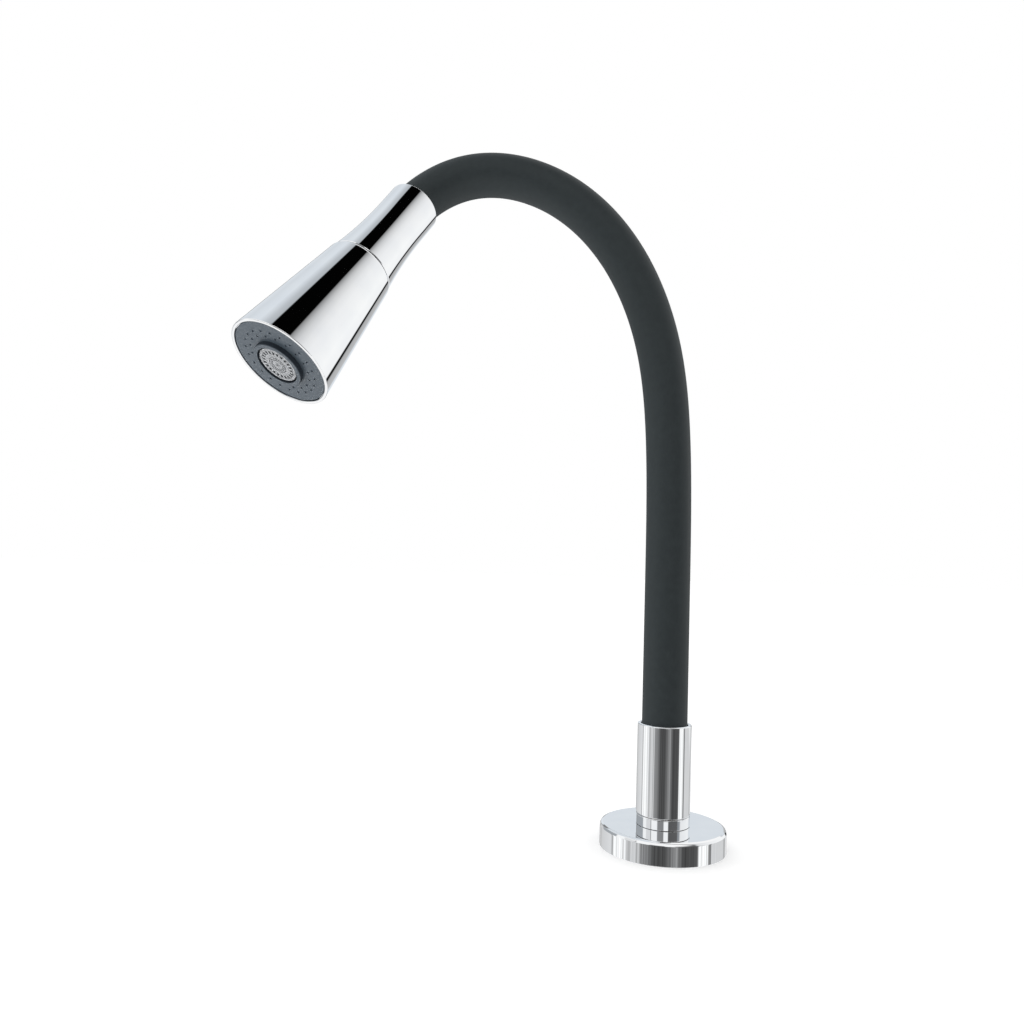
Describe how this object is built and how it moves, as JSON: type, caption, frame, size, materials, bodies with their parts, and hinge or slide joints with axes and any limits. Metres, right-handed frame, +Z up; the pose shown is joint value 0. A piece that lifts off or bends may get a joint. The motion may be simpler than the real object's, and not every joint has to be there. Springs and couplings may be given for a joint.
{
  "type": "flexible kitchen spout",
  "caption": "Deck-mounted kitchen sink spout with a turning base, a silicone-covered gooseneck that stays where it is bent, and a conical head that turns from stream to spray.",
  "frame": {"origin": "middle of the flange's underside, on the worktop, on the axis of the hole that the shank passes through", "axes": "+Z up along the shank and the riser, -X the way the gooseneck leans out over the sink, -Y the way the head turns, towards the user"},
  "size_m": [0.2308, 0.1115, 0.3953],
  "materials": {
    "polished_chrome": "polished",
    "brass": "satin",
    "steel": "satin",
    "charcoal_silicone": "matte",
    "seal_rubber": "matte",
    "tube_plastic": "satin",
    "slate_plastic": "satin",
    "pale_grey_plastic": "satin",
    "acetal": "satin"
  },
  "bodies": {
    "base": {"base_flange": "polished_chrome", "flange_gasket": "seal_rubber", "stem": "brass", "stem_oring_lower": "seal_rubber", "stem_oring_upper": "seal_rubber", "stem_clip": "steel", "deck_washer_rubber": "seal_rubber", "deck_washer_metal": "steel", "lock_nut": "brass"},
    "spout": {"slip_washer": "acetal", "swivel_ring": "polished_chrome", "swivel_body": "brass", "hose_sleeve": "polished_chrome", "lower_fitting": "brass", "lower_ferrule": "steel", "water_tube": "tube_plastic", "silicone_cover": "charcoal_silicone", "gooseneck_1": "steel"},
    "neck_2": {"gooseneck_2": "steel"},
    "neck_3": {"gooseneck_3": "steel"},
    "neck_4": {"gooseneck_4": "steel"},
    "neck_5": {"gooseneck_5": "steel"},
    "neck_6": {"gooseneck_6": "steel"},
    "neck_7": {"gooseneck_7": "steel"},
    "head": {"gooseneck_8": "steel", "upper_fitting": "brass", "upper_ferrule": "steel", "head_collar": "polished_chrome", "inlet_washer": "seal_rubber", "spray_core": "acetal", "core_oring": "seal_rubber", "core_clip": "steel", "diverter_seal": "seal_rubber"},
    "bell": {"diverter_disc": "slate_plastic", "spray_cartridge": "acetal", "spray_bell": "polished_chrome", "nozzle_plate": "slate_plastic", "plate_seal": "seal_rubber", "aerator_housing": "pale_grey_plastic", "aerator_grille": "pale_grey_plastic", "aerator_screen": "steel", "aerator_seal": "seal_rubber"}
  },
  "joints": [
    {"name": "spout_swivel", "type": "hinge", "parent": "base", "child": "spout", "pos_m": [0, 0, 0.012], "axis": [0, 0, 1], "continuous": true},
    {"name": "neck_bend_1", "type": "hinge", "parent": "spout", "child": "neck_2", "pos_m": [0, 0, 0.09735], "axis": [0, -1, 0], "range_deg": [-35, 30], "deforming": ["silicone_cover", "water_tube"]},
    {"name": "neck_sway_2", "type": "hinge", "parent": "neck_2", "child": "neck_3", "pos_m": [-0.00002, 0, 0.1448], "axis": [1, 0, 0.0033], "range_deg": [-30, 30], "deforming": ["silicone_cover", "water_tube"]},
    {"name": "neck_bend_3", "type": "hinge", "parent": "neck_3", "child": "neck_4", "pos_m": [-0.00092, 0, 0.19174], "axis": [0, -1, 0], "range_deg": [-35, 25], "deforming": ["silicone_cover", "water_tube"]},
    {"name": "neck_sway_4", "type": "hinge", "parent": "neck_4", "child": "neck_5", "pos_m": [-0.00592, 0, 0.23888], "axis": [0.98, 0, 0.1991], "range_deg": [-30, 30], "deforming": ["silicone_cover", "water_tube"]},
    {"name": "neck_bend_5", "type": "hinge", "parent": "neck_5", "child": "neck_6", "pos_m": [-0.02203, 0.00001, 0.28331], "axis": [-0.001, -1, 0.002], "range_deg": [-40, 15], "deforming": ["silicone_cover", "water_tube"]},
    {"name": "neck_sway_6", "type": "hinge", "parent": "neck_6", "child": "neck_7", "pos_m": [-0.05302, 0.00133, 0.31871], "axis": [0.5778, 0.0133, 0.8161], "range_deg": [-30, 30], "deforming": ["silicone_cover", "water_tube"]},
    {"name": "neck_bend_7", "type": "hinge", "parent": "neck_7", "child": "head", "pos_m": [-0.09696, 0.00227, 0.33231], "axis": [0.0417, -0.9988, 0.0272], "range_deg": [-40, 15], "deforming": ["silicone_cover", "water_tube"]},
    {"name": "bell_twist", "type": "hinge", "parent": "head", "child": "bell", "pos_m": [-0.132, -0.0052, 0.31237], "axis": [-0.3924, -0.4618, -0.7955], "range_deg": [0, 90]}
  ]
}
